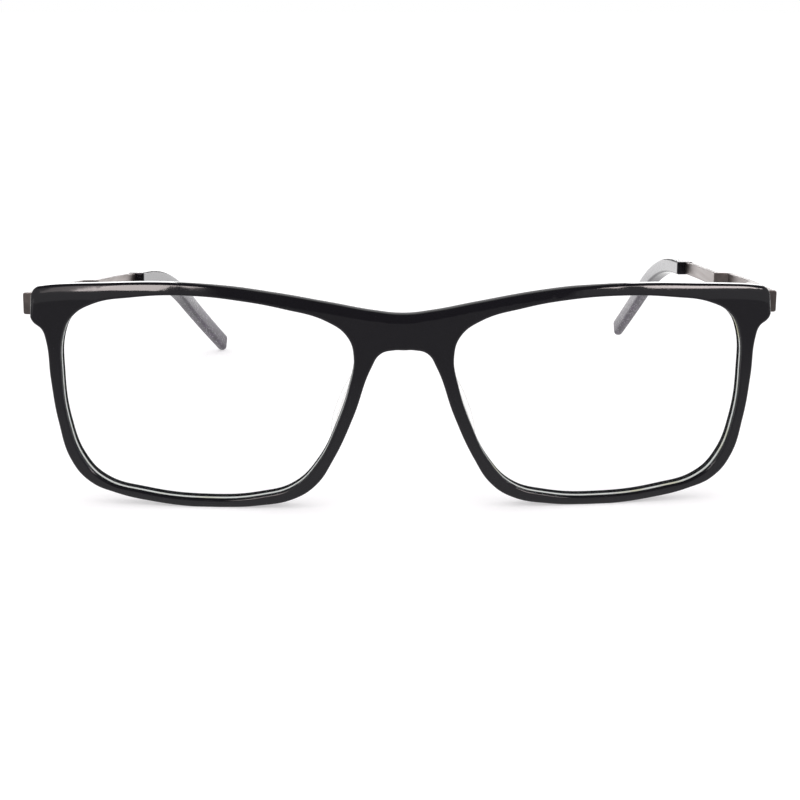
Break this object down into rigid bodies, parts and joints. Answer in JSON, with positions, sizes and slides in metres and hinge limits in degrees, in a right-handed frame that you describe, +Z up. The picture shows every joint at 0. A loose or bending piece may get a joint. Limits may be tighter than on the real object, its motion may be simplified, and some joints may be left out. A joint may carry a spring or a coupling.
{
  "type": "eyeglasses frame",
  "caption": "Eyeglasses frame with a glossy black acetate front, wide clear lenses, and slim stepped metal temples that fold on hinges and end in black acetate tips.",
  "frame": {"origin": "middle of the frame's box in X and Y, on the table it stands on", "axes": "+X towards the viewer's right across the front, +Y from the front back along the temples, +Z up"},
  "size_m": [0.1426, 0.1406, 0.0422],
  "materials": {
    "black_acetate": "polished",
    "clear_lens": "polished, clear",
    "clear_acetate": "polished, clear",
    "hinge_metal": "satin",
    "washer_nylon": "matte",
    "arm_metal": "satin gunmetal"
  },
  "bodies": {
    "front": {"front_frame": "black_acetate", "left_lens": "clear_lens", "right_lens": "clear_lens", "left_nose_pad": "clear_acetate", "right_nose_pad": "clear_acetate", "left_front_hinge": "hinge_metal", "right_front_hinge": "hinge_metal", "left_hinge_screw": "hinge_metal", "right_hinge_screw": "hinge_metal", "left_hinge_washer_upper": "washer_nylon", "left_hinge_washer_lower": "washer_nylon", "right_hinge_washer_upper": "washer_nylon", "right_hinge_washer_lower": "washer_nylon"},
    "left_temple": {"left_temple_hinge": "hinge_metal", "left_temple_arm": "arm_metal", "left_temple_tip": "black_acetate"},
    "right_temple": {"right_temple_hinge": "hinge_metal", "right_temple_arm": "arm_metal", "right_temple_tip": "black_acetate"}
  },
  "joints": [
    {"name": "left_hinge", "type": "hinge", "parent": "front", "child": "left_temple", "pos_m": [-0.0662, -0.05829, 0.03735], "axis": [0, 0, -1], "range_deg": [-9.8, 79.7]},
    {"name": "right_hinge", "type": "hinge", "parent": "front", "child": "right_temple", "pos_m": [0.0662, -0.05829, 0.03735], "axis": [0, 0, 1], "range_deg": [-1.9, 82.6]}
  ]
}
